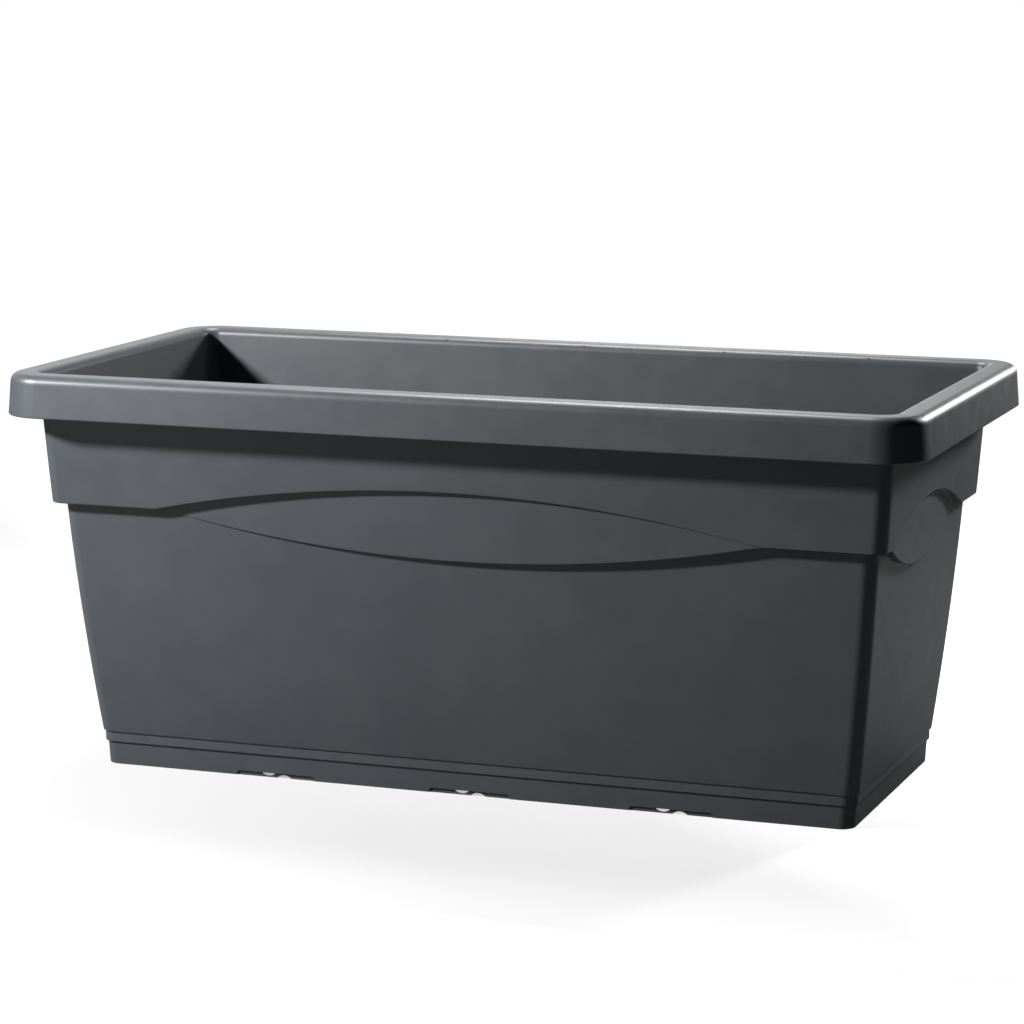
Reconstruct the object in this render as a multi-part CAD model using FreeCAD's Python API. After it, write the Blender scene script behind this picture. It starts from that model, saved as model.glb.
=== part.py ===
"""Window box planter, 80 cm: a moulded trough, its drain plugs and its lift-out drainage grate.

Millimetres. X runs along the length, Y to the back, +Z up.
The origin is the centre of the footprint, on the ground.
Every outline is a rectangle with round corners, given by its half length along X and its half depth along Y.
"""
import FreeCAD, Part
import itertools
import math
import os

from FreeCAD import Vector

# Overall size, over the rim
LENGTH = 800.0
DEPTH = 400.0
HEIGHT = 346.0

# Moulded plastic
WALL = 3.0

# Rim: a lip that turns down outside the walls and is hollow underneath
LIP_HEIGHT = 36.0          # from the rim's top down to the lip's lower edge
LIP_OVERHANG = 28.6        # from the band's face out to the lip's lower edge
LIP_FLARE = 2.2            # how far the lip's face leans out towards its lower edge
RIM_ROUND = 8.0            # outer top edge of the rim
MOUTH_ROUND = 7.0          # inner top edge of the rim
GUSSET_THICKNESS = 2.5     # webs that stiffen the lip from below
GUSSET_PITCH = 132.0
GUSSET_LIP_DROP = 4.0      # how far a gusset runs down the lip below the rim's round, and down the wall
GUSSET_NECK_DROP = 10.0

# Band: the proud upper part of the walls
BAND_HEIGHT = 77.0
BAND_TAPER = 5.2           # how much narrower the band is at its foot, on each side
BAND_STEP = 9.0            # how far the band stands out from the wall below it
CORNER = 12.0              # outer plan radius of the walls' corners

# Wall: the tapered lower part, a little bellied
WALL_TAPER_ENDS = 19.0     # how much narrower the wall is at its foot, on each end
WALL_TAPER_SIDES = 23.0    # the same on each long side
WALL_BELLY = 1.45

# Foot: two small steps inwards above the plinth skirt
TIER_LEVEL = 29.0
PLINTH_LEVEL = 20.0
TIER_STEP = 1.3
PLINTH_TAPER = 1.4

# Lens panels, half on the band and half on the wall, turned so that one tip is flush with the band
LENS_MARGIN = 101.2        # on a long side, from the band's corner to the tip
LENS_RISE = 29.0
END_LENS_NEAR_MARGIN = 26.2    # on an end, from the band's corner to the proud tip
END_LENS_FAR_MARGIN = 64.2     # on an end, from the band's corner to the recessed tip
END_LENS_RISE = 28.0
LENS_LIP = 0.5             # the least step left at a tip

# Floor and what is moulded on it
FLOOR_LIFT = 15.0          # clear height under the floor
RIB_THICKNESS = 2.5
RIB_DEPTH = 9.0
RIB_PITCH = 115.0
RIB_OFFSET = 42.0          # the two lengthwise ribs, from the middle

# Drain holes, in two rows
DRAIN_BORE = 16.0
DRAIN_BOSS_WALL = 3.0
DRAIN_BOSS_DEPTH = 6.0
DRAIN_COLUMNS = 3
DRAIN_END_MARGIN = 105.0   # from the plinth's ends to the outer holes
DRAIN_SIDE_MARGIN = 53.0   # from the plinth's long sides to each row

# Water outlets in the skirt: a shallow recess with two small windows beside an S-shaped web
OUTLET_LENGTH = 72.0
OUTLET_HEIGHT = 4.0
OUTLET_RECESS = 1.5
OUTLET_PITCH = 177.0
OUTLETS = 3
OUTLET_SHIFT = 4.0
OUTLET_ROUND = 2.4         # upper corners of the recess
WINDOW_LENGTH = 13.0
WINDOW_HEIGHT = 2.6
WINDOW_GAP = 2.0           # width of the web between the two windows
WINDOW_SILL = 0.5          # from the left window up to the recess's upper edge

# Drain plug: a cup with a flange that lies on the floor and a tab to pull it by
PLUG_CLEARANCE = 0.08      # on the radius, a push fit that still slides
PLUG_FLANGE = 4.5          # how far the flange reaches past the bore
PLUG_FLANGE_THICKNESS = 2.5
PLUG_WALL = 1.8
PLUG_LEAD = 0.7            # chamfer at the foot of the cup
PLUG_FLANGE_ROUND = 1.0
PLUG_TAB_HEIGHT = 9.0
PLUG_TAB_WIDTH = 10.0
PLUG_TAB_THICKNESS = 2.4
PLUG_TAB_ROUND = 3.0

# Drainage grate, two halves on legs
GRATE_LEVEL = 58.0         # underside of its plate above the ground
GRATE_THICKNESS = 3.0
GRATE_CLEARANCE = 2.0      # to the trough's walls
GRATE_SPLIT = 1.6          # between the halves
GRATE_EDGE_DEPTH = 8.0
GRATE_EDGE_THICKNESS = 2.5
LEG_DIAMETER = 14.0
LEG_WALL = 2.0
LEG_INSET = 34.0           # from the plate's edges to the outer legs
SLOT_LENGTH = 44.0
SLOT_WIDTH = 6.0
SLOT_PITCH_LONG = 54.0
SLOT_PITCH_SHORT = 20.0
SLOT_MARGIN = 4.0          # least plastic between a slot and an edge, a leg or the finger hole
FINGER_LENGTH = 70.0
FINGER_WIDTH = 24.0
END_ROUND = 0.45           # corner radius of slots and finger holes, as a share of their width

# Levels worked out from the sizes above
LIP_LEVEL = HEIGHT - LIP_HEIGHT
BAND_LEVEL = LIP_LEVEL - BAND_HEIGHT
FLOOR_TOP = FLOOR_LIFT + WALL
BAND_SLOPE = BAND_TAPER / BAND_HEIGHT
RIM_CORNER = CORNER + LIP_OVERHANG


def band_size(z):
    """Half length and half depth of the band's face at height z."""
    shrink = LIP_OVERHANG + BAND_SLOPE * (LIP_LEVEL - z)
    return LENGTH / 2 - shrink, DEPTH / 2 - shrink


def wall_size(z):
    """Half length and half depth of the wall's face at height z, between the tiers and the band."""
    down = (BAND_LEVEL - z) / (BAND_LEVEL - TIER_LEVEL)
    belly = 4 * WALL_BELLY * down * (1 - down)
    top_x, top_y = band_size(BAND_LEVEL)
    half_x = top_x - BAND_STEP - WALL_TAPER_ENDS * down + belly
    half_y = top_y - BAND_STEP - WALL_TAPER_SIDES * down + belly
    return half_x, half_y


def plinth_size(z):
    """Half length and half depth of the plinth skirt at height z, below the two small steps."""
    foot_x, foot_y = wall_size(TIER_LEVEL)
    inwards = 2 * TIER_STEP + PLINTH_TAPER * (TIER_LEVEL - z) / TIER_LEVEL
    return foot_x - inwards, foot_y - inwards


def outline(half_x, half_y, radius, z):
    """Closed wire: a rectangle with round corners at height z."""
    edges = []
    slant = radius * math.sqrt(0.5)
    corners = [(1, 1), (-1, 1), (-1, -1), (1, -1)]
    turns = []
    for sx, sy in corners:
        cx = sx * (half_x - radius)
        cy = sy * (half_y - radius)
        on_x = Vector(cx + sx * radius, cy, z)
        middle = Vector(cx + sx * slant, cy + sy * slant, z)
        on_y = Vector(cx, cy + sy * radius, z)
        first, last = (on_x, on_y) if sx * sy > 0 else (on_y, on_x)
        turns.append((first, middle, last))
    for index, (first, middle, last) in enumerate(turns):
        edges.append(Part.Arc(first, middle, last).toShape())
        edges.append(Part.LineSegment(last, turns[(index + 1) % 4][0]).toShape())
    return Part.Wire(edges)


def tapered(size, levels, inset, ruled=True):
    """Solid through the outlines that size() gives at the levels, drawn in by inset."""
    wires = []
    for z in levels:
        half_x, half_y = size(z)
        wires.append(outline(half_x - inset, half_y - inset, CORNER - inset, z))
    return Part.makeLoft(wires, True, ruled)


def lens_face(centre, half, rise, level):
    """Lens of two arcs in the XZ plane, standing on the line at the band's foot."""
    left = Vector(centre - half, 0, level)
    right = Vector(centre + half, 0, level)
    upper = Part.Arc(left, Vector(centre, 0, level + rise), right).toShape()
    lower = Part.Arc(right, Vector(centre, 0, level - rise), left).toShape()
    return Part.Face(Part.Wire([upper, lower]))


def tilted_block(centre, half, rise, level, recessed, proud, core):
    """Solid from y = -core out to a plane that leans with the band and turns from recessed to proud."""
    reach = 1.2 * half
    turn = (proud - recessed) / (2 * half)
    wires = []
    for dz in (-1.5 * rise, 1.5 * rise):
        lean = BAND_SLOPE * dz
        z = level + dz
        near = -(recessed + turn * (half - reach) + lean)
        far = -(recessed + turn * (half + reach) + lean)
        points = [
            Vector(centre - reach, near, z),
            Vector(centre + reach, far, z),
            Vector(centre + reach, -core, z),
            Vector(centre - reach, -core, z),
        ]
        wires.append(Part.makePolygon(points + points[:1]))
    return Part.makeLoft(wires, True, True)


def lens_tools(centre, half, rise, band_half, wall_half, inset, lift):
    """What a lens panel adds to the walls and what it takes away, for a panel that faces -Y."""
    level = BAND_LEVEL + lift
    recessed = wall_half + LENS_LIP - inset
    proud = band_half - LENS_LIP - inset
    core = wall_half - inset - 4 * BAND_STEP
    face = lens_face(centre, half, rise, level)
    outer = band_half + 2 * BAND_STEP
    face.translate(Vector(0, -outer, 0))
    prism = face.extrude(Vector(0, outer - core, 0))
    block = tilted_block(centre, half, rise, level, recessed, proud, core)
    return prism.common(block), prism.cut(block)


def turned(shape, degrees):
    copy = shape.copy()
    copy.rotate(Vector(0, 0, 0), Vector(0, 0, 1), degrees)
    return copy


def panels(inset, lift):
    """The four lens panels: (solids to add, solids to take away)."""
    band_x, band_y = band_size(BAND_LEVEL)
    wall_x, wall_y = wall_size(BAND_LEVEL)
    long_add, long_cut = lens_tools(0, band_x - LENS_MARGIN, LENS_RISE, band_y, wall_y, inset, lift)
    # An end panel is drawn facing -Y with its proud tip at +X, then mirrored so that it lands at the front
    centre = (END_LENS_FAR_MARGIN - END_LENS_NEAR_MARGIN) / 2
    half = band_y - (END_LENS_FAR_MARGIN + END_LENS_NEAR_MARGIN) / 2
    end_add, end_cut = lens_tools(centre, half, END_LENS_RISE, band_x, wall_x, inset, lift)
    end_add = turned(end_add.mirror(Vector(0, 0, 0), Vector(1, 0, 0)), 90)
    end_cut = turned(end_cut.mirror(Vector(0, 0, 0), Vector(1, 0, 0)), 90)
    adds = []
    cuts = []
    for half_turn in (0, 180):
        adds += [turned(long_add, half_turn), turned(end_add, half_turn)]
        cuts += [turned(long_cut, half_turn), turned(end_cut, half_turn)]
    return adds, cuts


def walls_form(inset, lift):
    """Solid inside the wall and band faces, drawn in by inset, with its steps raised by lift."""
    step = BAND_LEVEL + lift
    middle = (TIER_LEVEL + step) / 2
    wall = tapered(wall_size, [TIER_LEVEL, middle, step], inset, ruled=False)
    band = tapered(band_size, [step, LIP_LEVEL], inset)
    adds, cuts = panels(inset, lift)
    form = wall.fuse(band)
    form = form.cut(Part.makeCompound(cuts))
    return form.fuse(adds)


def rim_profile():
    """Section of the rim in the (x, z) plane: x runs inwards from the lip's lower edge, as a closed face."""
    neck_rise = HEIGHT - LIP_LEVEL
    mouth_x = LIP_OVERHANG + WALL - BAND_SLOPE * (neck_rise - MOUTH_ROUND)
    neck_x = LIP_OVERHANG - BAND_SLOPE * (neck_rise - WALL)
    inner_round = RIM_ROUND - WALL
    lean = LIP_FLARE / (neck_rise - RIM_ROUND)
    slant = math.sqrt(0.5)

    def point(x, z):
        return Vector(x, 0, z)

    def line(start, end):
        return Part.LineSegment(start, end).toShape()

    def arc(start, centre_x, centre_z, radius, side, end):
        middle = point(centre_x + side * radius * slant, centre_z + radius * slant)
        return Part.Arc(start, middle, end).toShape()

    lip_foot = point(0, LIP_LEVEL)
    lip_top = point(LIP_FLARE, HEIGHT - RIM_ROUND)
    top_out = point(LIP_FLARE + RIM_ROUND, HEIGHT)
    top_in = point(mouth_x - MOUTH_ROUND, HEIGHT)
    mouth = point(mouth_x, HEIGHT - MOUTH_ROUND)
    neck_in = point(LIP_OVERHANG + WALL, LIP_LEVEL)
    neck_out = point(LIP_OVERHANG, LIP_LEVEL)
    neck_top = point(neck_x, HEIGHT - WALL)
    ceiling = point(LIP_FLARE + WALL + inner_round, HEIGHT - WALL)
    hollow = point(LIP_FLARE + WALL, HEIGHT - WALL - inner_round)
    lip_back = point(LIP_FLARE + WALL - lean * (neck_rise - RIM_ROUND), LIP_LEVEL)
    edges = [
        line(lip_foot, lip_top),
        arc(lip_top, LIP_FLARE + RIM_ROUND, HEIGHT - RIM_ROUND, RIM_ROUND, -1, top_out),
        line(top_out, top_in),
        arc(top_in, mouth_x - MOUTH_ROUND, HEIGHT - MOUTH_ROUND, MOUTH_ROUND, 1, mouth),
        line(mouth, neck_in),
        line(neck_in, neck_out),
        line(neck_out, neck_top),
        line(neck_top, ceiling),
        arc(ceiling, LIP_FLARE + WALL + inner_round, HEIGHT - WALL - inner_round, inner_round, -1, hollow),
        line(hollow, lip_back),
        line(lip_back, lip_foot),
    ]
    return Part.Face(Part.Wire(edges))


def rim():
    """The rim's section run once round the mouth: four straight runs and four turned corners."""
    pieces = []
    for quarter in range(4):
        half_out, half_run = (LENGTH / 2, DEPTH / 2) if quarter % 2 == 0 else (DEPTH / 2, LENGTH / 2)
        straight = half_run - RIM_CORNER
        # Drawn on the side that faces +X, where the section's inward x axis points along -X
        section = turned(rim_profile(), 180)
        section.translate(Vector(half_out, -straight, 0))
        run = section.extrude(Vector(0, 2 * straight, 0))
        section.translate(Vector(0, 2 * straight, 0))
        corner = section.revolve(Vector(half_out - RIM_CORNER, straight, 0), Vector(0, 0, 1), 90)
        pieces += [turned(run, 90 * quarter), turned(corner, 90 * quarter)]
    return pieces[0].fuse(pieces[1:])


def gussets():
    """Upright webs in the hollow of the lip, along the long sides and the ends."""
    webs = []
    buried = WALL / 2
    in_lip = LIP_FLARE + buried
    in_neck = LIP_OVERHANG + buried - BAND_SLOPE * LIP_HEIGHT
    for half_out, run, turn in ((DEPTH / 2, LENGTH, 0), (LENGTH / 2, DEPTH, 90)):
        count = int((run - 2 * RIM_CORNER) / GUSSET_PITCH)
        points = [
            Vector(0, in_lip - half_out, HEIGHT - RIM_ROUND),
            Vector(0, in_lip - half_out, HEIGHT - RIM_ROUND - GUSSET_LIP_DROP),
            Vector(0, in_neck - half_out, HEIGHT - RIM_ROUND - GUSSET_NECK_DROP),
            Vector(0, in_neck - half_out, HEIGHT - buried),
            Vector(0, in_lip + RIM_ROUND - half_out, HEIGHT - buried),
        ]
        face = Part.Face(Part.makePolygon(points + points[:1]))
        for index in range(count):
            along = (index - (count - 1) / 2) * GUSSET_PITCH
            web = face.extrude(Vector(GUSSET_THICKNESS, 0, 0))
            web.translate(Vector(along - GUSSET_THICKNESS / 2, 0, 0))
            webs += [turned(web, turn), turned(web, turn + 180)]
    return webs


def drain_places():
    """Centres of the drain holes, front row first."""
    half_x, half_y = plinth_size(FLOOR_TOP)
    reach = half_x - DRAIN_END_MARGIN
    row = half_y - DRAIN_SIDE_MARGIN
    pitch = 2 * reach / (DRAIN_COLUMNS - 1)
    return [(column * pitch - reach, y) for y in (-row, row) for column in range(DRAIN_COLUMNS)]


def floor_ribs():
    """Ribs under the floor, two along and several across, ending inside the plinth skirt."""
    half_x, half_y = plinth_size(FLOOR_LIFT)
    low = FLOOR_LIFT - RIB_DEPTH
    height = RIB_DEPTH + WALL / 2
    long_reach = half_x - WALL / 2
    short_reach = half_y - WALL / 2
    ribs = []
    for row in (-RIB_OFFSET, RIB_OFFSET):
        corner = Vector(-long_reach, row - RIB_THICKNESS / 2, low)
        ribs.append(Part.makeBox(2 * long_reach, RIB_THICKNESS, height, corner))
    count = int(2 * long_reach / RIB_PITCH) + 1
    for index in range(count):
        along = (index - (count - 1) / 2) * RIB_PITCH
        corner = Vector(along - RIB_THICKNESS / 2, -short_reach, low)
        ribs.append(Part.makeBox(RIB_THICKNESS, 2 * short_reach, height, corner))
    return ribs


def half_moon(start, y, level, bulge):
    """A window's face: a straight side at the level and an arc that rises by the bulge, or drops."""
    near = Vector(start, y, level)
    far = Vector(start + WINDOW_LENGTH, y, level)
    bow = Part.Arc(near, Vector(start + WINDOW_LENGTH / 2, y, level + bulge), far).toShape()
    return Part.Face(Part.Wire([bow, Part.LineSegment(far, near).toShape()]))


def outlets():
    """What the water outlets take out of the skirt, on both long sides."""
    cuts = []
    foot_y = plinth_size(0)[1]
    outside = -foot_y - WALL
    recess_depth = Vector(0, WALL + OUTLET_RECESS, 0)
    window_depth = Vector(0, 3 * WALL, 0)
    for index in range(OUTLETS):
        centre = (index - (OUTLETS - 1) / 2) * OUTLET_PITCH + OUTLET_SHIFT
        corner = Vector(centre - OUTLET_LENGTH / 2, outside, -OUTLET_ROUND)
        recess = Part.makeBox(OUTLET_LENGTH, recess_depth.y, OUTLET_HEIGHT + OUTLET_ROUND, corner)
        through = [edge for edge in recess.Edges if edge.BoundBox.YLength > OUTLET_RECESS]
        cuts.append(recess.makeFillet(OUTLET_ROUND, [edge for edge in through if edge.BoundBox.ZMin > 0]))
        # Left of the web the window is flat above and round below, right of it the other way up
        top = OUTLET_HEIGHT - WINDOW_SILL
        left = half_moon(centre - WINDOW_GAP / 2 - WINDOW_LENGTH, outside, top, -WINDOW_HEIGHT)
        right = half_moon(centre + WINDOW_GAP / 2, outside, 0, WINDOW_HEIGHT)
        cuts += [left.extrude(window_depth), right.extrude(window_depth)]
    return cuts + [turned(cut, 180) for cut in cuts]


def trough():
    """The one moulding."""
    tier_x, tier_y = wall_size(TIER_LEVEL)
    plinth = tapered(plinth_size, [0, PLINTH_LEVEL], 0)
    tier = tapered(lambda z: (tier_x - TIER_STEP, tier_y - TIER_STEP), [PLINTH_LEVEL, TIER_LEVEL], 0)
    outside = plinth.fuse([tier, walls_form(0, 0)])

    def foot_size(z):
        """From the plinth's inside at the floor out to the wall's inside at the upper tier."""
        share = (z - FLOOR_TOP) / (TIER_LEVEL - FLOOR_TOP)
        low_x, low_y = plinth_size(FLOOR_TOP)
        return low_x + share * (tier_x - low_x), low_y + share * (tier_y - low_y)

    foot = tapered(foot_size, [FLOOR_TOP, TIER_LEVEL], WALL)
    inside = foot.fuse(walls_form(WALL, WALL))
    under = tapered(plinth_size, [0, FLOOR_LIFT], WALL)
    body = outside.cut(inside).cut(under)
    additions = [rim()] + gussets() + floor_ribs()
    bores = []
    for x, y in drain_places():
        boss_radius = DRAIN_BORE / 2 + DRAIN_BOSS_WALL
        boss_foot = Vector(x, y, FLOOR_LIFT - DRAIN_BOSS_DEPTH)
        additions.append(Part.makeCylinder(boss_radius, DRAIN_BOSS_DEPTH + WALL / 2, boss_foot))
        bores.append(Part.makeCylinder(DRAIN_BORE / 2, FLOOR_TOP, Vector(x, y, 0)))
    body = body.fuse(additions)
    return body.cut(Part.makeCompound(bores + outlets())).removeSplitter()


def drain_plug(x, y):
    """Cup in the bore, flange on the floor, pull tab on top."""
    radius = DRAIN_BORE / 2 - PLUG_CLEARANCE
    depth = WALL + DRAIN_BOSS_DEPTH
    foot = FLOOR_TOP - depth
    middle = FLOOR_TOP + PLUG_FLANGE_THICKNESS / 2
    cup = Part.makeCylinder(radius, middle - foot, Vector(x, y, foot))
    cup = cup.makeChamfer(PLUG_LEAD, [edge for edge in cup.Edges if edge.BoundBox.ZMax < FLOOR_LIFT])
    hollow = Part.makeCylinder(radius - PLUG_WALL, depth - PLUG_WALL, Vector(x, y, foot))
    flange = Part.makeCylinder(DRAIN_BORE / 2 + PLUG_FLANGE, PLUG_FLANGE_THICKNESS, Vector(x, y, FLOOR_TOP))
    upper_edge = [edge for edge in flange.Edges if edge.BoundBox.ZMin > middle]
    flange = flange.makeFillet(PLUG_FLANGE_ROUND, upper_edge)
    corner = Vector(x - PLUG_TAB_WIDTH / 2, y - PLUG_TAB_THICKNESS / 2, middle)
    tab = Part.makeBox(PLUG_TAB_WIDTH, PLUG_TAB_THICKNESS, PLUG_TAB_HEIGHT, corner)
    tops = [edge for edge in tab.Edges if edge.BoundBox.ZMin > middle]
    shoulders = [edge for edge in tops if edge.BoundBox.XLength < PLUG_TAB_WIDTH / 2]
    tab = tab.makeFillet(PLUG_TAB_ROUND, shoulders)
    return cup.fuse([flange, tab]).cut(hollow).removeSplitter()


def grate_half():
    """The right half of the grate: slotted plate, downturned edge and tubular legs that reach the floor."""
    low = GRATE_LEVEL - GRATE_EDGE_DEPTH
    low_x, low_y = wall_size(low)
    start = GRATE_SPLIT / 2
    end = low_x - WALL - GRATE_CLEARANCE
    side = low_y - WALL - GRATE_CLEARANCE
    middle = (start + end) / 2

    def slab(inset, bottom, top):
        """Half of a plate with round corners, cut off at the split."""
        whole = Part.Face(outline(end - inset, side - inset, CORNER - WALL, bottom))
        keep = Part.makeBox(end, 2 * side, top - bottom, Vector(start + inset, -side, bottom))
        return whole.extrude(Vector(0, 0, top - bottom)).common(keep)

    def hole(length, width, x, y):
        """What a slot or a finger hole takes out of the plate."""
        face = Part.Face(outline(length / 2, width / 2, END_ROUND * width, GRATE_LEVEL))
        face.translate(Vector(x, y, 0))
        return face.extrude(Vector(0, 0, GRATE_THICKNESS))

    plate = slab(0, low, GRATE_LEVEL + GRATE_THICKNESS)
    plate = plate.cut(slab(GRATE_EDGE_THICKNESS, low, GRATE_LEVEL))
    legs = []
    cuts = [hole(FINGER_LENGTH, FINGER_WIDTH, middle, 0)]
    taken = [(middle, 0, FINGER_LENGTH / 2, FINGER_WIDTH / 2)]
    leg_radius = LEG_DIAMETER / 2
    height = GRATE_LEVEL - FLOOR_TOP
    for column, row in itertools.product((-1, 0, 1), (-1, 0, 1)):
        if (column, row) != (0, 0):
            x = middle + column * (end - middle - LEG_INSET)
            y = row * (side - LEG_INSET)
            foot = Vector(x, y, FLOOR_TOP)
            legs.append(Part.makeCylinder(leg_radius, height + GRATE_THICKNESS / 2, foot))
            cuts.append(Part.makeCylinder(leg_radius - LEG_WALL, height, foot))
            taken.append((x, y, leg_radius, leg_radius))

    reach_x = end - middle - GRATE_EDGE_THICKNESS - SLOT_MARGIN - SLOT_LENGTH / 2
    reach_y = side - GRATE_EDGE_THICKNESS - SLOT_MARGIN - SLOT_WIDTH / 2
    columns = int(2 * reach_x / SLOT_PITCH_LONG) + 1
    rows = int(2 * reach_y / SLOT_PITCH_SHORT) + 1
    for column, row in itertools.product(range(columns), range(rows)):
        x = middle + (column - (columns - 1) / 2) * SLOT_PITCH_LONG
        y = (row - (rows - 1) / 2) * SLOT_PITCH_SHORT
        free = True
        for taken_x, taken_y, half_x, half_y in taken:
            apart_x = abs(x - taken_x) > half_x + SLOT_LENGTH / 2 + SLOT_MARGIN
            apart_y = abs(y - taken_y) > half_y + SLOT_WIDTH / 2 + SLOT_MARGIN
            free = free and (apart_x or apart_y)
        if free:
            cuts.append(hole(SLOT_LENGTH, SLOT_WIDTH, x, y))
    return plate.fuse(legs).cut(Part.makeCompound(cuts)).removeSplitter()


def save(name, shape):
    """Write the piece, which is one solid, and say how much plastic or rubber it holds."""
    shape.Solids[0].exportStep("parts/" + name + ".step")
    volume = round(shape.Volume / 1000, 1)
    print(name, "solids", len(shape.Solids), "valid", shape.isValid(), "volume cm3", volume)


os.makedirs("parts", exist_ok=True)
save("trough", trough())
for number, (x, y) in enumerate(drain_places(), start=1):
    save("drain_plug_%d" % number, drain_plug(x, y))
right = grate_half()
save("drainage_grate_right", right)
save("drainage_grate_left", turned(right, 180))
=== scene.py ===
"""Window box planter: an 80 cm trough moulded in dark grey plastic, on a white studio floor."""

import collections
import math

import bmesh
import bpy
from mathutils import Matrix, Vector


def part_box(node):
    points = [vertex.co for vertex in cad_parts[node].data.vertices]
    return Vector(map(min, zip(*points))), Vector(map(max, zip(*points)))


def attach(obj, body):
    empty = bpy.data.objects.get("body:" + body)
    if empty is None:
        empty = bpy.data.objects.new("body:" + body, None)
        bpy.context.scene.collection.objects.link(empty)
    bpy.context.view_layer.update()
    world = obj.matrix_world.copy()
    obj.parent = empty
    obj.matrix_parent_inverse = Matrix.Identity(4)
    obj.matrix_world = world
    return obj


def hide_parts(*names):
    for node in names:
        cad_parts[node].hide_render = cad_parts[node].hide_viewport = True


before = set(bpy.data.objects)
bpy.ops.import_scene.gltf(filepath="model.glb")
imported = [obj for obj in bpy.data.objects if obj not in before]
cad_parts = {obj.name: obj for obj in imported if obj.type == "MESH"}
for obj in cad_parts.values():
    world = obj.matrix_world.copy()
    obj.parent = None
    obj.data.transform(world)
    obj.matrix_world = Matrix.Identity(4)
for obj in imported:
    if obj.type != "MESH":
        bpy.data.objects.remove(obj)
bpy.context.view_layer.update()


# ----------------------------------------------------------------------------------------------
# Camera. It stands where the photograph was taken from, which was found by fitting the straight
# edges and the corners of the planter. It looks down a little, from the front right.

CAMERA_PLACE = (1.02395, -2.79922, 0.72938)
CAMERA_TURN = 20.192       # degrees to the left of +Y
CAMERA_DIP = 9.698         # degrees below the horizon
FOCAL_PIXELS = 3508.3
FRAME_PIXELS = 1024
SENSOR_MM = 36.0

camera = bpy.data.objects.new("camera", bpy.data.cameras.new("camera"))
camera.data.sensor_width = SENSOR_MM
camera.data.lens = FOCAL_PIXELS / FRAME_PIXELS * camera.data.sensor_width
camera.location = CAMERA_PLACE
camera.rotation_euler = (math.radians(90 - CAMERA_DIP), 0, math.radians(CAMERA_TURN))
bpy.context.scene.collection.objects.link(camera)
bpy.context.scene.camera = camera
bpy.context.scene.view_settings.view_transform = "Standard"


# ----------------------------------------------------------------------------------------------
# Studio. A pale floor that runs into a white background. A small key lamp stands close by at the
# front left, one hangs over the rim, one lights the right end from behind, and one the back of the
# rim. A weak, wide one at the front left fills the shadow under the lip.

def linear(hex_colour):
    """The linear colour of an sRGB hex value, with alpha."""
    channels = [int(hex_colour[start:start + 2], 16) / 255 for start in (1, 3, 5)]
    return [c / 12.92 if c <= 0.04045 else ((c + 0.055) / 1.055) ** 2.4 for c in channels] + [1.0]


def add_node(tree, kind, inputs=None, **settings):
    """Add a node. inputs maps a socket's name or number to its value, or to the output that feeds it."""
    node = tree.nodes.new(kind)
    for name, value in settings.items():
        setattr(node, name, value)
    for socket, value in (inputs or {}).items():
        if isinstance(value, bpy.types.NodeSocket):
            tree.links.new(value, node.inputs[socket])
        else:
            node.inputs[socket].default_value = value
    return node


def add_lamp(name, place, aim, size, watts):
    """A square area lamp that faces its aim."""
    lamp = bpy.data.objects.new(name, bpy.data.lights.new(name, "AREA"))
    lamp.data.size = size
    lamp.data.energy = watts
    lamp.location = place
    lamp.rotation_euler = (Vector(aim) - Vector(place)).to_track_quat("-Z", "Y").to_euler()
    bpy.context.scene.collection.objects.link(lamp)


add_lamp("key_lamp", (-1.12, -0.88, 0.92), (-0.1, 0.0, 0.2), 0.13, 46.5)
add_lamp("top_lamp", (-0.33, 0.5, 1.6), (0.0, 0.0, 0.2), 0.5, 27.0)
add_lamp("end_lamp", (0.75, 0.85, 0.65), (0.3, 0.0, 0.2), 0.16, 12.0)
add_lamp("rim_lamp", (-0.3, 1.6, 0.8), (0.0, 0.0, 0.3), 0.6, 1.3)
add_lamp("fill_lamp", (-0.9, -1.6, 0.3), (-0.2, 0.0, 0.2), 0.8, 2.0)

# The world is white to the camera. The planter sees only a glow behind it on the left.
GLOW_TOWARDS = (-0.48, 0.84, 0.26)
GLOW_TIGHTNESS = 12.0
GLOW_STRENGTH = 1.35
world = bpy.data.worlds.new("studio")
bpy.context.scene.world = world
world.use_nodes = True
tree = world.node_tree
tree.nodes.clear()
heading = add_node(tree, "ShaderNodeTexCoord").outputs["Generated"]
facing = add_node(tree, "ShaderNodeVectorMath", {0: heading, 1: GLOW_TOWARDS}, operation="DOT_PRODUCT")
ahead = add_node(tree, "ShaderNodeMath", {0: facing.outputs["Value"], 1: 0.0}, operation="MAXIMUM")
lobe = add_node(tree, "ShaderNodeMath", {0: ahead.outputs[0], 1: GLOW_TIGHTNESS}, operation="POWER")
glow = add_node(tree, "ShaderNodeMath", {0: lobe.outputs[0], 1: GLOW_STRENGTH}, operation="MULTIPLY")
path = add_node(tree, "ShaderNodeLightPath")
strength = add_node(tree, "ShaderNodeMix", {
    "Factor": path.outputs["Is Camera Ray"], "A": glow.outputs[0], "B": 1.0,
}, data_type="FLOAT")
background = add_node(tree, "ShaderNodeBackground", {
    "Color": linear("#ffffff"), "Strength": strength.outputs["Result"],
})
add_node(tree, "ShaderNodeOutputWorld", {"Surface": background.outputs[0]})

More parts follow.
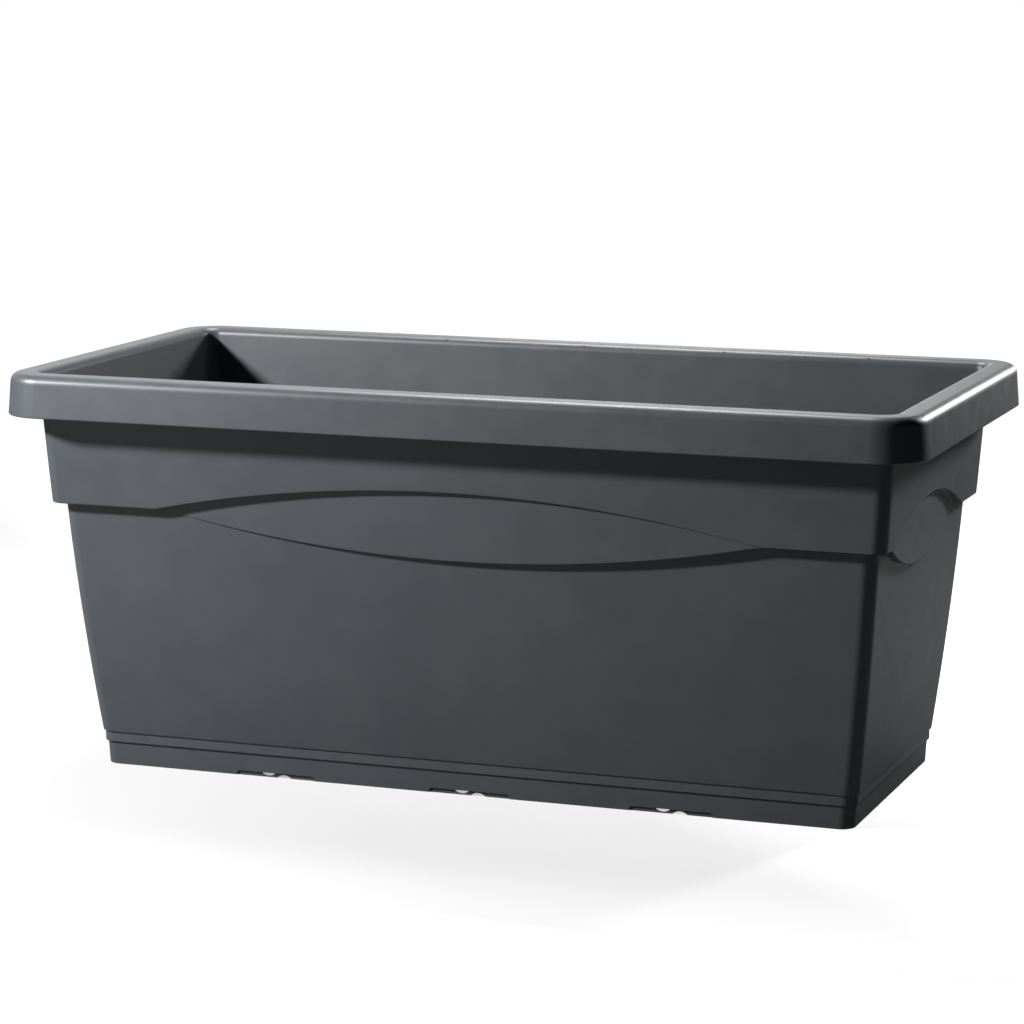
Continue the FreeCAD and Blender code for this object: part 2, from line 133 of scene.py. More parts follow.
# Matt floor. The camera sees a paler one than the planter does. To the camera it also glows, and
# this painted light lifts it to white, but by less close in front of the planter, which paints shade
# there, so that the shadow shows. The levels follow a line that runs back and to the right, and they
# rise to white again further in front.
LIFT_ALONG = (0.9, 1.0, 0.0)
PAINTED_LIFT_AT = (
    (-0.95, 1.0), (-0.6, 0.42), (-0.3, 0.46), (0.0, 0.58), (0.1, 0.74), (0.25, 0.84), (0.6, 1.0),
)
STRAIGHT_BACK = (0.0, 1.0, 0.0)
FRONT_FROM, FRONT_TO = -0.3, -0.65
FLOOR_SEEN = "#9b9b9b"
FLOOR_REFLECTED = "#6c6c6c"
floor_paint = bpy.data.materials.new("floor_matt_painted_lift")
floor_paint.use_nodes = True
tree = floor_paint.node_tree
tree.nodes.clear()
where = add_node(tree, "ShaderNodeTexCoord").outputs["Object"]
along = add_node(tree, "ShaderNodeVectorMath", {0: where, 1: LIFT_ALONG}, operation="DOT_PRODUCT")
share = add_node(tree, "ShaderNodeMapRange", {
    "Value": along.outputs["Value"], "From Min": PAINTED_LIFT_AT[0][0], "From Max": PAINTED_LIFT_AT[-1][0],
})
ramp = add_node(tree, "ShaderNodeValToRGB", {"Fac": share.outputs["Result"]})
while len(ramp.color_ramp.elements) < len(PAINTED_LIFT_AT):
    ramp.color_ramp.elements.new(0.5)
for element, (distance, level) in zip(ramp.color_ramp.elements, PAINTED_LIFT_AT):
    element.position = (distance - PAINTED_LIFT_AT[0][0]) / (PAINTED_LIFT_AT[-1][0] - PAINTED_LIFT_AT[0][0])
    element.color = (level, level, level, 1.0)
depth = add_node(tree, "ShaderNodeVectorMath", {0: where, 1: STRAIGHT_BACK}, operation="DOT_PRODUCT")
white_in_front = add_node(tree, "ShaderNodeMapRange", {
    "Value": depth.outputs["Value"], "From Min": FRONT_FROM, "From Max": FRONT_TO,
}, interpolation_type="SMOOTHSTEP")
painted_lift_level = add_node(tree, "ShaderNodeMath", {
    0: ramp.outputs["Color"], 1: white_in_front.outputs["Result"],
}, operation="MAXIMUM")
path = add_node(tree, "ShaderNodeLightPath")
seen = add_node(tree, "ShaderNodeMath", {
    0: path.outputs["Is Camera Ray"], 1: painted_lift_level.outputs[0],
}, operation="MULTIPLY")
tint = add_node(tree, "ShaderNodeMix", {
    "Factor": path.outputs["Is Camera Ray"], "A": linear(FLOOR_REFLECTED), "B": linear(FLOOR_SEEN),
}, data_type="RGBA")
paint = add_node(tree, "ShaderNodeBsdfDiffuse", {"Color": tint.outputs["Result"]})
# Only the camera sees this emission: painted light on the floor, lower where it paints shade in front
lift = add_node(tree, "ShaderNodeEmission", {"Strength": seen.outputs[0]})
both = add_node(tree, "ShaderNodeAddShader", {0: paint.outputs[0], 1: lift.outputs[0]})
add_node(tree, "ShaderNodeOutputMaterial", {"Surface": both.outputs[0]})

FLOOR_HALF = 15.0
floor_mesh = bpy.data.meshes.new("floor")
floor_corners = [(x, y, 0.0) for x, y in ((-1, -1), (1, -1), (1, 1), (-1, 1))]
floor_mesh.from_pydata([Vector(c) * FLOOR_HALF for c in floor_corners], [], [(0, 1, 2, 3)])
floor_mesh.materials.append(floor_paint)
floor = bpy.data.objects.new("floor", floor_mesh)
bpy.context.scene.collection.objects.link(floor)


# ----------------------------------------------------------------------------------------------
# Trough. One injection moulding in polypropylene: a rim that turns down outside the walls, a band
# with a step below it, a lens-shaped panel on each side, a plinth, and ribs and drain holes in the
# floor. Sizes here are in millimetres, and the skin's edges have the small rounds that a mould leaves.

MM = 0.001
low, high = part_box("trough")
LENGTH, DEPTH, HEIGHT = [(high[axis] - low[axis]) / MM for axis in range(3)]
WALL = 3.0

LIP_HEIGHT = 36.0
LIP_OVERHANG = 28.6
LIP_FLARE = 2.2
RIM_ROUND = 8.0
MOUTH_ROUND = 7.0
BAND_HEIGHT = 77.0
BAND_TAPER = 5.2
BAND_STEP = 9.0
CORNER = 12.0
WALL_TAPER_ENDS = 19.0
WALL_TAPER_SIDES = 23.0
WALL_BELLY = 1.45
TIER_LEVEL = 29.0
PLINTH_LEVEL = 20.0
TIER_STEP = 1.3
PLINTH_TAPER = 1.4
LENS_LIP = 0.5
FLOOR_UNDERSIDE = 15.0

LIP_LEVEL = HEIGHT - LIP_HEIGHT
BAND_LEVEL = LIP_LEVEL - BAND_HEIGHT
FLOOR_TOP = FLOOR_UNDERSIDE + WALL
BAND_SLOPE = BAND_TAPER / BAND_HEIGHT
RIM_CORNER = CORNER + LIP_OVERHANG

# Small rounds of the mould. A pair is the round in the hollow of a step, then the one on its edge.
EDGE_ROUND = 1.3
HOLLOW_ROUND = 0.9
LIP_EDGE_ROUND = 1.4
NECK_ROUND = 2.0
FLOOR_ROUND = 3.0
SKIRT_ROUND = 0.6
PLINTH_ROUNDS = (0.5, 0.7)
TIER_ROUNDS = (0.4, 0.6)
ARC_STEPS = 4
RIM_STEPS = 8
INNER_RIM_STEPS = 5
NECK_STEPS = 3


def band_size(z):
    """Half length and half depth of the band's face."""
    shrink = LIP_OVERHANG + BAND_SLOPE * (LIP_LEVEL - z)
    return LENGTH / 2 - shrink, DEPTH / 2 - shrink


def wall_size(z):
    """Half length and half depth of the wall's face below the band."""
    down = (BAND_LEVEL - z) / (BAND_LEVEL - TIER_LEVEL)
    belly = 4 * WALL_BELLY * down * (1 - down)
    top_x, top_y = band_size(BAND_LEVEL)
    half_x = top_x - BAND_STEP - WALL_TAPER_ENDS * down + belly
    half_y = top_y - BAND_STEP - WALL_TAPER_SIDES * down + belly
    return half_x, half_y


def grown(size, amount):
    return size[0] + amount, size[1] + amount


def plinth_size(z):
    """Half length and half depth of the plinth skirt."""
    return grown(wall_size(TIER_LEVEL), -2 * TIER_STEP - PLINTH_TAPER * (TIER_LEVEL - z) / TIER_LEVEL)


# The skin is woven from columns, which go round the planter, and rows, which go up it. Each side has
# one lens: where its tips are, how high it rises, and whether it stands proud at its far or near tip.
Lens = collections.namedtuple("Lens", "near far rise proud_far")
Column = collections.namedtuple("Column", "side along turn")
LENSES = (Lens(-265.0, 265.0, 29.0, True), Lens(-140.0, 102.0, 28.0, False))
FREE_COLUMNS = (5, 3)
LENS_COLUMNS = (48, 30)
CORNER_COLUMNS = 12
# Columns nearer to the middle than this keep their place up the wall, as far as the wall's straight
# stretch allows. The rest move with the corner, in a stretch that is never shorter than SQUEEZED.
KEPT_STRAIGHT = (300.0, 142.0)
SQUEEZED = 3.0
REACH = [half - CORNER for half in band_size(BAND_LEVEL)]

columns = []
for side in range(4):
    lens = LENSES[side % 2]
    reach = REACH[side % 2]
    free = FREE_COLUMNS[side % 2]
    crowd = LENS_COLUMNS[side % 2]
    places = [-reach + (lens.near + reach) * step / free for step in range(free)]
    for step in range(crowd):
        eased = 0.5 - 0.5 * math.cos(math.pi * step / crowd)
        places.append(lens.near + (lens.far - lens.near) * eased)
    places += [lens.far + (reach - lens.far) * step / free for step in range(free + 1)]
    columns += [Column(side, place, None) for place in places]
    for step in range(1, CORNER_COLUMNS):
        columns.append(Column(side, reach, math.radians(90 * step / CORNER_COLUMNS)))


def place(column, size, radius, z):
    """Where a column meets a rectangle with round corners. Side 0 is the front, then right, back, left."""
    run, out = size if column.side % 2 == 0 else size[::-1]
    straight = run - radius
    if column.turn is None:
        kept = min(KEPT_STRAIGHT[column.side % 2], straight - SQUEEZED)
        along = column.along
        if abs(along) > kept:
            share = (abs(along) - kept) / (REACH[column.side % 2] - kept)
            along = math.copysign(kept + share * (straight - kept), along)
        across = -out
    else:
        along = straight + radius * math.sin(column.turn)
        across = radius - out - radius * math.cos(column.turn)
    for _ in range(column.side):
        along, across = -across, along
    return Vector((along, across, z)) * MM


def lens_at(column):
    """Half height of the lens at a column, and how far it has turned from recessed (0) to proud (1)."""
    lens = LENSES[column.side % 2]
    if column.turn is not None:
        return 0.0, 1.0 if lens.proud_far else 0.0
    share = min(1.0, max(0.0, (column.along - lens.near) / (lens.far - lens.near)))
    half = (lens.far - lens.near) / 2
    from_middle = column.along - (lens.far + lens.near) / 2
    radius = (half ** 2 + lens.rise ** 2) / (2 * lens.rise)
    height = math.sqrt(radius ** 2 - min(abs(from_middle), half) ** 2) - (radius - lens.rise)
    return max(0.0, height), share if lens.proud_far else 1 - share


def step_profile(inner, outer, z, hollow, edge):
    """A step that overhangs, from the lower face out to the upper one: (size, z) up the profile."""
    profile = []
    for step in range(ARC_STEPS + 1):
        angle = math.pi / 2 * step / ARC_STEPS
        profile.append((grown(inner, hollow * (1 - math.cos(angle))), z - hollow * (1 - math.sin(angle))))
    for step in range(ARC_STEPS + 1):
        angle = math.pi / 2 * step / ARC_STEPS
        profile.append((grown(outer, -edge * (1 - math.sin(angle))), z + edge * (1 - math.cos(angle))))
    return profile


# Where the rows of the walls stand: clear of the tiers, clear of the lens, at shares of the stretches
# below, on and above the lens, and close under the lip.
TIER_CLEAR = 4.0
LOW_WALL_ROWS = 8
LENS_CLEAR = 8.0
ROWS_BELOW_LENS = (0.4, 0.75)
ROWS_ON_LENS = (0.33, 0.67)
ROWS_ABOVE_LENS = (0.3, 0.65, 1.0)
UNDER_LIP_ROW = 289.0
# A round takes up no more than these shares of its step's depth and of the lens's half height. Where
# that half height is under MERGE_BELOW, the two steps run together.
ROUND_OF_STEP = 0.45
ROUND_OF_RISE = 0.8
MERGE_BELOW = 2.0


def wall_profile(column, inset, lift, hollow, edge):
    """(size, z) up a column of the walls, from above the tiers to the lip, with the inset taken off."""
    level = BAND_LEVEL + lift
    rise, share = lens_at(column)
    turned = LENS_LIP + share * (BAND_STEP - 2 * LENS_LIP)
    lower_z = level - rise
    upper_z = level + rise

    def lens_size(z):
        return grown(wall_size(BAND_LEVEL), turned + BAND_SLOPE * (z - level))

    # Outside the lens its face has no height, and the two steps run together into one
    merged = BAND_STEP * max(0.0, 1 - rise / MERGE_BELOW)
    lower_hollow = min(hollow, ROUND_OF_STEP * max(turned, merged))
    lower_edge = min(edge, ROUND_OF_STEP * turned, ROUND_OF_RISE * rise)
    upper_hollow = min(hollow, ROUND_OF_STEP * (BAND_STEP - turned), ROUND_OF_RISE * rise)
    upper_edge = min(edge, ROUND_OF_STEP * max(BAND_STEP - turned, merged))

    profile = []
    foot = TIER_LEVEL + TIER_CLEAR
    lowest_lens = level - max(lens.rise for lens in LENSES) - LENS_CLEAR
    for step in range(LOW_WALL_ROWS):
        z = foot + (lowest_lens - foot) * step / (LOW_WALL_ROWS - 1)
        profile.append((wall_size(z), z))
    for share_up in ROWS_BELOW_LENS:
        z = lowest_lens + share_up * (lower_z - lower_hollow - lowest_lens)
        profile.append((wall_size(z), z))
    profile += step_profile(wall_size(lower_z), lens_size(lower_z), lower_z, lower_hollow, lower_edge)
    for share_up in ROWS_ON_LENS:
        z = lower_z + lower_edge + share_up * (upper_z - upper_hollow - lower_z - lower_edge)
        profile.append((lens_size(z), z))
    profile += step_profile(lens_size(upper_z), band_size(upper_z), upper_z, upper_hollow, upper_edge)
    highest_lens = level + max(lens.rise for lens in LENSES) + LENS_CLEAR
    for share_up in ROWS_ABOVE_LENS:
        z = upper_z + upper_edge + share_up * (highest_lens - upper_z - upper_edge)
        profile.append((band_size(z), z))
    profile += [(band_size(z), z) for z in (UNDER_LIP_ROW, LIP_LEVEL)]
    return [(grown(size, -inset), z) for size, z in profile]


def woven(profile_at, radius):
    """Rows of points from a profile that may differ from column to column."""
    profiles = [profile_at(column) for column in columns]
    rows = []
    for level in range(len(profiles[0])):
        row = []
        for column, profile in zip(columns, profiles):
            size, z = profile[level]
            row.append(place(column, size, radius, z))
        rows.append(row)
    return rows


def rim_rows():
    """Rows from the neck under the lip, round its inside and its outside, to the mouth."""
    neck_rise = HEIGHT - LIP_LEVEL
    mouth = LIP_OVERHANG + WALL - BAND_SLOPE * (neck_rise - MOUTH_ROUND)
    inner_round = RIM_ROUND - WALL
    flare = LIP_FLARE / (neck_rise - RIM_ROUND)
    ceiling = HEIGHT - WALL

    def arc(centre_in, centre_z, radius, start, end, steps):
        """Points on an arc; angles in degrees, 0 points inwards and 90 up."""
        turn = [math.radians(start + (end - start) * step / steps) for step in range(steps + 1)]
        return [(centre_in + radius * math.cos(a), centre_z + radius * math.sin(a)) for a in turn]

    neck = LIP_OVERHANG - BAND_SLOPE * (neck_rise - WALL)
    profile = arc(neck - NECK_ROUND, ceiling - NECK_ROUND, NECK_ROUND, 0, 90, NECK_STEPS)
    profile += arc(LIP_FLARE + RIM_ROUND, ceiling - inner_round, inner_round, 90, 180, INNER_RIM_STEPS)
    lower = LIP_LEVEL + LIP_EDGE_ROUND
    inner_edge = WALL - LIP_EDGE_ROUND + flare * LIP_EDGE_ROUND
    profile += arc(inner_edge, lower, LIP_EDGE_ROUND, 0, -90, ARC_STEPS)
    profile += arc(LIP_EDGE_ROUND + flare * LIP_EDGE_ROUND, lower, LIP_EDGE_ROUND, -90, -180, ARC_STEPS)
    profile += arc(LIP_FLARE + RIM_ROUND, HEIGHT - RIM_ROUND, RIM_ROUND, 180, 90, RIM_STEPS)
    profile += arc(mouth - MOUTH_ROUND, HEIGHT - MOUTH_ROUND, MOUTH_ROUND, 90, 0, RIM_STEPS)
    rows = []
    for inwards, z in profile:
        size = LENGTH / 2 - inwards, DEPTH / 2 - inwards
        rows.append([place(column, size, RIM_CORNER - inwards, z) for column in columns])
    return rows


def foot_profile(column):
    """From the floor's underside down inside the skirt, round its lower edge and up over the tiers."""
    edge = SKIRT_ROUND
    bevel = 0.3 * edge
    middle = PLINTH_LEVEL / 2
    tier = grown(wall_size(TIER_LEVEL), -TIER_STEP)
    profile = [(grown(plinth_size(FLOOR_UNDERSIDE), -WALL), FLOOR_UNDERSIDE)]
    profile += [(grown(plinth_size(edge), -WALL), edge), (grown(plinth_size(0), edge - WALL), 0.0)]
    profile += [(grown(plinth_size(0), -edge), 0.0), (grown(plinth_size(0), -bevel), bevel)]
    profile += [(plinth_size(edge), edge), (plinth_size(middle), middle)]
    profile += step_profile(plinth_size(PLINTH_LEVEL), tier, PLINTH_LEVEL, *PLINTH_ROUNDS)
    profile += step_profile(tier, wall_size(TIER_LEVEL), TIER_LEVEL, *TIER_ROUNDS)
    return profile


def floor_profile(column):
    """Inside, from the round at the floor's edge up to where the walls begin."""
    foot = grown(plinth_size(FLOOR_TOP), -WALL)
    profile = []
    for step in range(ARC_STEPS + 1):
        angle = math.pi / 2 * step / ARC_STEPS
        out = FLOOR_ROUND * (math.sin(angle) - 1)
        profile.append((grown(foot, out), FLOOR_TOP + FLOOR_ROUND * (1 - math.cos(angle))))
    return profile


outside = woven(lambda column: wall_profile(column, 0.0, 0.0, HOLLOW_ROUND, EDGE_ROUND), CORNER)
inside = woven(lambda column: wall_profile(column, WALL, WALL, EDGE_ROUND, HOLLOW_ROUND), CORNER - WALL)
foot = woven(foot_profile, CORNER)
basin = woven(floor_profile, CORNER - WALL)
rows = foot + outside + rim_rows() + inside[::-1] + basin[::-1]

shell = bmesh.new()
rings = [[shell.verts.new(point) for point in row] for row in rows]
for lower, upper in zip(rings, rings[1:]):
    for index in range(len(columns)):
        after = (index + 1) % len(columns)
        shell.faces.new((lower[index], lower[after], upper[after], upper[index]))
shell.faces.new(rings[0][::-1])
shell.faces.new(rings[-1])

# Outside the lens several rows lie on one another, and their points are joined there
WELD = 0.004
bmesh.ops.remove_doubles(shell, verts=shell.verts, dist=WELD * MM)
bmesh.ops.dissolve_degenerate(shell, edges=shell.edges, dist=WELD * MM)
bmesh.ops.recalc_face_normals(shell, faces=shell.faces)


def new_piece(name, mesh_source):
    """A mesh object from a bmesh, which is used up."""
    mesh = bpy.data.meshes.new(name)
    mesh_source.to_mesh(mesh)
    mesh_source.free()
    piece = bpy.data.objects.new(name, mesh)
    bpy.context.scene.collection.objects.link(piece)
    return piece


def add_prism(target, points, travel):
    """Add a closed prism: a flat outline in millimetres, and how far it is carried."""
    near = [target.verts.new(Vector(point) * MM) for point in points]
    far = [target.verts.new((Vector(point) + Vector(travel)) * MM) for point in points]
    faces = [target.faces.new(near), target.faces.new(far[::-1])]
    for index in range(len(points)):
        after = (index + 1) % len(points)
        faces.append(target.faces.new((near[after], near[index], far[index], far[after])))
    bmesh.ops.recalc_face_normals(target, faces=faces)


CIRCLE_STEPS = 48


def circle(x, y, z, radius):
    turn = [2 * math.pi * step / CIRCLE_STEPS for step in range(CIRCLE_STEPS)]
    return [(x + radius * math.cos(a), y + radius * math.sin(a), z) for a in turn]


# What is moulded on: webs in the hollow of the lip, ribs and drain bosses under the floor
GUSSET_THICKNESS = 2.5
GUSSET_PITCH = 132.0
GUSSET_LIP_DROP = 4.0
GUSSET_NECK_DROP = 10.0
RIB_THICKNESS = 2.5
RIB_DEPTH = 9.0
RIB_PITCH = 115.0
RIB_OFFSET = 42.0
DRAIN_RADIUS = 8.0
BOSS_RADIUS = 11.0
BOSS_DEPTH = 6.0
DRAIN_COLUMNS = 3
DRAIN_END_MARGIN = 105.0
DRAIN_SIDE_MARGIN = 53.0

moulded_on = bmesh.new()
ribs_across = bmesh.new()
in_lip = LIP_FLARE + WALL / 2
in_neck = LIP_OVERHANG + WALL / 2 - BAND_SLOPE * LIP_HEIGHT
shoulder = HEIGHT - RIM_ROUND
ceiling = HEIGHT - WALL / 2
section = [
    (in_lip, shoulder), (in_lip, shoulder - GUSSET_LIP_DROP), (in_neck, shoulder - GUSSET_NECK_DROP),
    (in_neck, ceiling), (in_lip + RIM_ROUND, ceiling),
]
for half_out, run, is_end in ((DEPTH / 2, LENGTH, False), (LENGTH / 2, DEPTH, True)):
    count = int((run - 2 * RIM_CORNER) / GUSSET_PITCH)
    for index in range(count):
        along = (index - (count - 1) / 2) * GUSSET_PITCH - GUSSET_THICKNESS / 2
        for face in (-1, 1):
            if is_end:
                points = [(face * (half_out - inwards), along, z) for inwards, z in section]
                add_prism(moulded_on, points, (0, GUSSET_THICKNESS, 0))
            else:
                points = [(along, face * (half_out - inwards), z) for inwards, z in section]
                add_prism(moulded_on, points, (GUSSET_THICKNESS, 0, 0))

rib_x, rib_y = grown(plinth_size(FLOOR_UNDERSIDE), -WALL / 2)
rib_low = FLOOR_UNDERSIDE - RIB_DEPTH
rib_height = (0, 0, RIB_DEPTH + WALL / 2)
half_rib = RIB_THICKNESS / 2
for row in (-RIB_OFFSET, RIB_OFFSET):
    front, back = row - half_rib, row + half_rib
    points = [(-rib_x, front), (rib_x, front), (rib_x, back), (-rib_x, back)]
    add_prism(moulded_on, [(x, y, rib_low) for x, y in points], rib_height)
count = int(2 * rib_x / RIB_PITCH) + 1
for index in range(count):
    middle = (index - (count - 1) / 2) * RIB_PITCH
    left, right = middle - half_rib, middle + half_rib
    points = [(left, -rib_y), (right, -rib_y), (right, rib_y), (left, rib_y)]
    add_prism(ribs_across, [(x, y, rib_low) for x, y in points], rib_height)

floor_x, floor_y = plinth_size(FLOOR_TOP)
drain_reach = floor_x - DRAIN_END_MARGIN
drain_row = floor_y - DRAIN_SIDE_MARGIN
drain_pitch = 2 * drain_reach / (DRAIN_COLUMNS - 1)
drains = [(index * drain_pitch - drain_reach, row) for row in (-drain_row, drain_row)
          for index in range(DRAIN_COLUMNS)]
boss_low = FLOOR_UNDERSIDE - BOSS_DEPTH
for x, y in drains:
    add_prism(moulded_on, circle(x, y, boss_low, BOSS_RADIUS), (0, 0, BOSS_DEPTH + WALL / 2))

# What is cut out: the drain holes, and the water outlets in the skirt, each a shallow recess with a
# window either side of an S-shaped web
OVERCUT = 1.0
OUTLET_LENGTH = 72.0
OUTLET_HEIGHT = 4.0
OUTLET_RECESS = 1.5
OUTLET_PITCH = 177.0
OUTLETS = 3
OUTLET_SHIFT = 4.0
OUTLET_ROUND = 2.4
OUTLET_STEPS = 5
WINDOW_LENGTH = 13.0
WINDOW_HEIGHT = 2.6
WINDOW_GAP = 2.0
WINDOW_SILL = 0.5
WINDOW_STEPS = 12
# The right window is open to the ground, and reaches a hair below it so that the cut is clean
WINDOW_DROP = 0.01

holes = bmesh.new()
windows = bmesh.new()
for x, y in drains:
    add_prism(holes, circle(x, y, -OVERCUT, DRAIN_RADIUS), (0, 0, FLOOR_TOP + 2 * OVERCUT))


def half_moon(start, level, bulge):
    """A window's outline: straight at the level, and an arc that rises by the bulge, or drops."""
    middle = start + WINDOW_LENGTH / 2
    radius = (WINDOW_LENGTH ** 2 / 4 + bulge ** 2) / (2 * abs(bulge))
    half_turn = math.asin(WINDOW_LENGTH / 2 / radius)
    outline = []
    for step in range(WINDOW_STEPS + 1):
        turn = half_turn * (2 * step / WINDOW_STEPS - 1)
        height = radius * math.cos(turn) - (radius - abs(bulge))
        outline.append((middle + radius * math.sin(turn), level + math.copysign(height, bulge)))
    return outline


def recess_outline(middle):
    """The recess: open to the ground, with round upper corners."""
    half = OUTLET_LENGTH / 2
    outline = [(middle - half, -OVERCUT), (middle + half, -OVERCUT)]
    for side, start in ((1, 0), (-1, 90)):
        for step in range(OUTLET_STEPS + 1):
            turn = math.radians(start + 90 * step / OUTLET_STEPS)
            x = middle + side * (half - OUTLET_ROUND) + OUTLET_ROUND * math.cos(turn)
            outline.append((x, OUTLET_HEIGHT - OUTLET_ROUND + OUTLET_ROUND * math.sin(turn)))
    return outline


outer_y = plinth_size(0)[1] + WALL
for index in range(OUTLETS):
    middle = (index - (OUTLETS - 1) / 2) * OUTLET_PITCH + OUTLET_SHIFT
    left = half_moon(middle - WINDOW_GAP / 2 - WINDOW_LENGTH, OUTLET_HEIGHT - WINDOW_SILL, -WINDOW_HEIGHT)
    right = half_moon(middle + WINDOW_GAP / 2, 0.0, WINDOW_HEIGHT)
    right = [(x, z - WINDOW_DROP) for x, z in right]
    cuts = (
        (holes, recess_outline(middle), WALL + OUTLET_RECESS),
        (windows, left, 3 * WALL),
        (windows, right, 3 * WALL),
    )
    for face in (-1, 1):
        for target, outline, travel in cuts:
            points = [(-face * x, face * outer_y, z) for x, z in outline]
            add_prism(target, points, (0, -face * travel, 0))

# Shapes that overlap each other are added or cut in turn, since one boolean cuts them wrongly together
trough = new_piece("trough_moulding", shell)
tools = []
for tool, operation in (
    (moulded_on, "UNION"), (ribs_across, "UNION"), (holes, "DIFFERENCE"), (windows, "DIFFERENCE"),
):
    tools.append(new_piece("tool", tool))
    modifier = trough.modifiers.new("shape", "BOOLEAN")
    modifier.operation = operation
    modifier.object = tools[-1]
    modifier.solver = "MANIFOLD"
bpy.context.view_layer.update()
carved = bpy.data.meshes.new_from_object(trough.evaluated_get(bpy.context.evaluated_depsgraph_get()))
trough.modifiers.clear()
trough.data = carved
for tool in tools:
    bpy.data.objects.remove(tool)

# Only real edges are sharp, and the large faces set the shading of the small rounds between them
SHARP_DEGREES = 38
FACE_WEIGHT = 90
carved.shade_smooth()
carved.set_sharp_from_angle(angle=math.radians(SHARP_DEGREES))
weighted = trough.modifiers.new("weighted", "WEIGHTED_NORMAL")
weighted.keep_sharp = True
weighted.weight = FACE_WEIGHT

# Anthracite polypropylene with a fine eroded mould texture: matt to satin, cool grey, with faint
# cloudy tone where the melt flowed, and a grain that breaks up the gloss. A mould's grain is finer
# than a pixel, which covers about 0.9 mm, so it is drawn coarser, at that size.
polypropylene = bpy.data.materials.new("polypropylene_moulded_anthracite")
polypropylene.use_nodes = True
tree = polypropylene.node_tree
shader = tree.nodes["Principled BSDF"]
shader.inputs["IOR"].default_value = 1.49
shader.inputs["Specular IOR Level"].default_value = 0.5
where = add_node(tree, "ShaderNodeTexCoord").outputs["Object"]
FLOW_MM = 140.0
MOTTLE_MM = 22.0
GRAIN_MM = 0.9
flow = add_node(tree, "ShaderNodeTexNoise", {
    "Vector": where, "Scale": 1 / (FLOW_MM * MM), "Detail": 3.0, "Roughness": 0.5,
})
mottle = add_node(tree, "ShaderNodeTexNoise", {
    "Vector": where, "Scale": 1 / (MOTTLE_MM * MM), "Detail": 4.0, "Roughness": 0.6,
})
grain = add_node(tree, "ShaderNodeTexNoise", {
    "Vector": where, "Scale": 1 / (GRAIN_MM * MM), "Detail": 2.0, "Roughness": 0.5,
})
cloud = add_node(tree, "ShaderNodeMix", {
    "Factor": 0.35, "A": flow.outputs["Fac"], "B": mottle.outputs["Fac"],
}, data_type="FLOAT")
tone = add_node(tree, "ShaderNodeValToRGB", {"Fac": cloud.outputs["Result"]})
tone.color_ramp.elements[0].position = 0.35
tone.color_ramp.elements[0].color = linear("#3e4246")
tone.color_ramp.elements[1].position = 0.65
tone.color_ramp.elements[1].color = linear("#44474b")
gloss = add_node(tree, "ShaderNodeMapRange", {
    "Value": mottle.outputs["Fac"], "From Min": 0.3, "From Max": 0.7, "To Min": 0.40, "To Max": 0.47,
})
bump = add_node(tree, "ShaderNodeBump", {
    "Height": grain.outputs["Fac"], "Strength": 0.25, "Distance": 0.05 * MM,
})
tree.links.new(tone.outputs["Color"], shader.inputs["Base Color"])
tree.links.new(gloss.outputs["Result"], shader.inputs["Roughness"])
tree.links.new(bump.outputs["Normal"], shader.inputs["Normal"])
trough.data.materials.clear()
trough.data.materials.append(polypropylene)
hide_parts("trough")
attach(trough, "trough")


# ----------------------------------------------------------------------------------------------
# Drain plugs. Cups moulded from black rubber, pushed into the drain holes from above, with a tab to
# pull them by. Their meshes come from model.glb.

# Black moulded rubber: dull, nearly black, with a greyish bloom in patches. The grain is drawn
# coarser than a real one, so that it shows.
BLOOM_MM = 6.0
RUBBER_GRAIN_MM = 0.7
rubber = bpy.data.materials.new("rubber_moulded_black")
rubber.use_nodes = True
tree = rubber.node_tree
shader = tree.nodes["Principled BSDF"]
shader.inputs["IOR"].default_value = 1.52
where = add_node(tree, "ShaderNodeTexCoord").outputs["Object"]
bloom = add_node(tree, "ShaderNodeTexNoise", {
    "Vector": where, "Scale": 1 / (BLOOM_MM * MM), "Detail": 4.0,
})
tone = add_node(tree, "ShaderNodeValToRGB", {"Fac": bloom.outputs["Fac"]})
tone.color_ramp.elements[0].position = 0.35
tone.color_ramp.elements[0].color = linear("#1b1b1c")
tone.color_ramp.elements[1].position = 0.75
tone.color_ramp.elements[1].color = linear("#2a2a2b")
gloss = add_node(tree, "ShaderNodeMapRange", {
    "Value": bloom.outputs["Fac"], "From Min": 0.3, "From Max": 0.7, "To Min": 0.55, "To Max": 0.72,
})
grain = add_node(tree, "ShaderNodeTexNoise", {
    "Vector": where, "Scale": 1 / (RUBBER_GRAIN_MM * MM), "Detail": 2.0,
})
bump = add_node(tree, "ShaderNodeBump", {
    "Height": grain.outputs["Fac"], "Strength": 0.3, "Distance": 0.05 * MM,
})
tree.links.new(tone.outputs["Color"], shader.inputs["Base Color"])
tree.links.new(gloss.outputs["Result"], shader.inputs["Roughness"])
tree.links.new(bump.outputs["Normal"], shader.inputs["Normal"])
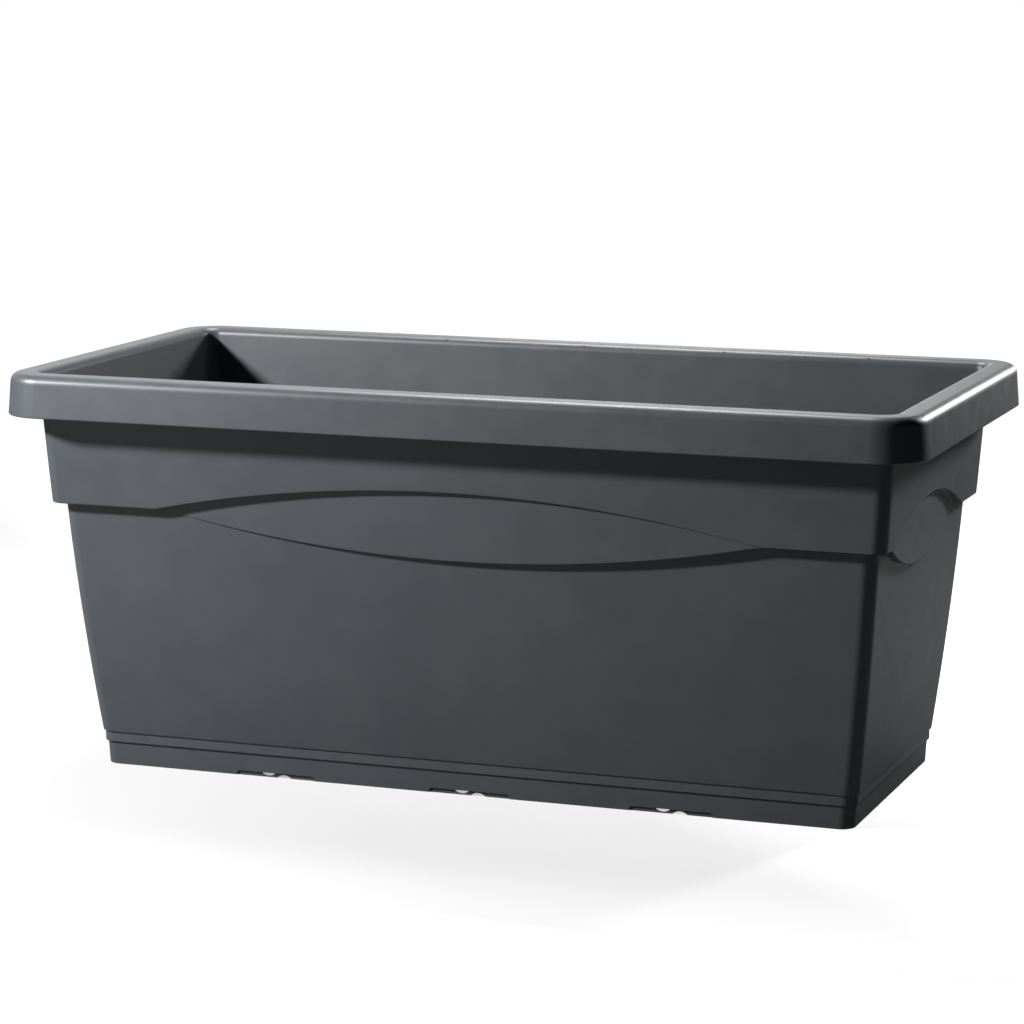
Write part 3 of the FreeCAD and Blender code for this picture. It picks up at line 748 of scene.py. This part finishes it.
for name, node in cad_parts.items():
    if name.startswith("drain_plug"):
        node.data.materials.clear()
        node.data.materials.append(rubber)


# ----------------------------------------------------------------------------------------------
# Drainage grate. Two loose halves, moulded from nearly black recycled polypropylene with slots and
# legs. They stand on the trough's floor, under the soil. Their meshes come from model.glb.

# Recycled polypropylene, moulded: nearly black, satin, with drawn-out swirls where the melt mixed
# badly. The grain is drawn coarser than a real one, so that it shows.
SWIRL_MM = 18.0
GRATE_GRAIN_MM = 1.2
recycled = bpy.data.materials.new("polypropylene_recycled_black")
recycled.use_nodes = True
tree = recycled.node_tree
shader = tree.nodes["Principled BSDF"]
shader.inputs["IOR"].default_value = 1.49
where = add_node(tree, "ShaderNodeTexCoord").outputs["Object"]
streaks = add_node(tree, "ShaderNodeMapping", {"Vector": where, "Scale": (0.25, 1.0, 1.0)})
swirl = add_node(tree, "ShaderNodeTexNoise", {
    "Vector": streaks.outputs["Vector"], "Scale": 1 / (SWIRL_MM * MM), "Detail": 5.0, "Distortion": 0.6,
})
tone = add_node(tree, "ShaderNodeValToRGB", {"Fac": swirl.outputs["Fac"]})
tone.color_ramp.elements[0].position = 0.3
tone.color_ramp.elements[0].color = linear("#232527")
tone.color_ramp.elements[1].position = 0.75
tone.color_ramp.elements[1].color = linear("#323537")
gloss = add_node(tree, "ShaderNodeMapRange", {
    "Value": swirl.outputs["Fac"], "From Min": 0.3, "From Max": 0.7, "To Min": 0.42, "To Max": 0.55,
})
grain = add_node(tree, "ShaderNodeTexNoise", {
    "Vector": where, "Scale": 1 / (GRATE_GRAIN_MM * MM), "Detail": 2.0,
})
bump = add_node(tree, "ShaderNodeBump", {
    "Height": grain.outputs["Fac"], "Strength": 0.25, "Distance": 0.06 * MM,
})
tree.links.new(tone.outputs["Color"], shader.inputs["Base Color"])
tree.links.new(gloss.outputs["Result"], shader.inputs["Roughness"])
tree.links.new(bump.outputs["Normal"], shader.inputs["Normal"])
for name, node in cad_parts.items():
    if name.startswith("drainage_grate"):
        node.data.materials.clear()
        node.data.materials.append(recycled)
